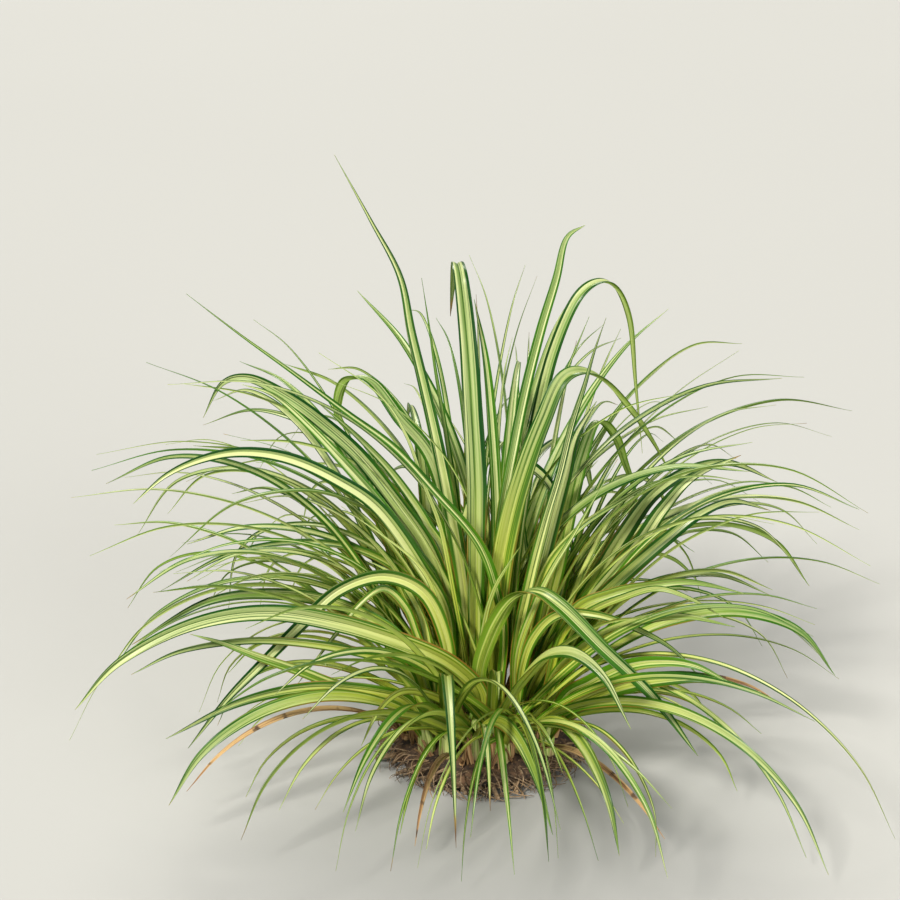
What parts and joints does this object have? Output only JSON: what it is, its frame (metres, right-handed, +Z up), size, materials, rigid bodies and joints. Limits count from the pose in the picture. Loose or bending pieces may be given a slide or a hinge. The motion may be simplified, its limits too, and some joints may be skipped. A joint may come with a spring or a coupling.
{
  "type": "variegated carex sedge",
  "caption": "Tufted sedge: long keeled arching leaves, cream with green margins, rise in fan-like shoots from a low fibrous rootstock that is cut flat underneath.",
  "frame": {"origin": "centre of the rootstock's flat underside, on the surface that the tuft stands on", "axes": "+Z up, along the tuft's height; -Y the front of the tuft, +X its right side as seen from the front"},
  "size_m": [0.3365, 0.3408, 0.264],
  "materials": {
    "leaf": "satin",
    "dead_leaf": "matte",
    "rootstock": "matte"
  },
  "bodies": {
    "root": {"rootstock": "rootstock", "shoot_01": "leaf", "shoot_02": "leaf", "shoot_03": "leaf", "shoot_04": "leaf", "shoot_05": "leaf", "shoot_06": "leaf", "shoot_07": "leaf", "shoot_08": "leaf", "shoot_09": "leaf", "shoot_10": "leaf", "shoot_11": "leaf", "shoot_12": "leaf", "shoot_13": "leaf", "shoot_14": "leaf", "shoot_15": "leaf", "shoot_16": "leaf", "shoot_17": "leaf", "shoot_18": "leaf", "shoot_19": "leaf", "shoot_20": "leaf", "shoot_21": "leaf", "shoot_22": "leaf", "shoot_23": "leaf", "shoot_24": "leaf", "shoot_25": "leaf", "shoot_26": "leaf", "shoot_27": "leaf", "shoot_28": "leaf", "dead_leaf_1": "dead_leaf", "dead_leaf_2": "dead_leaf", "dead_leaf_3": "dead_leaf", "dead_leaf_4": "dead_leaf", "dead_leaf_5": "dead_leaf"}
  },
  "joints": []
}
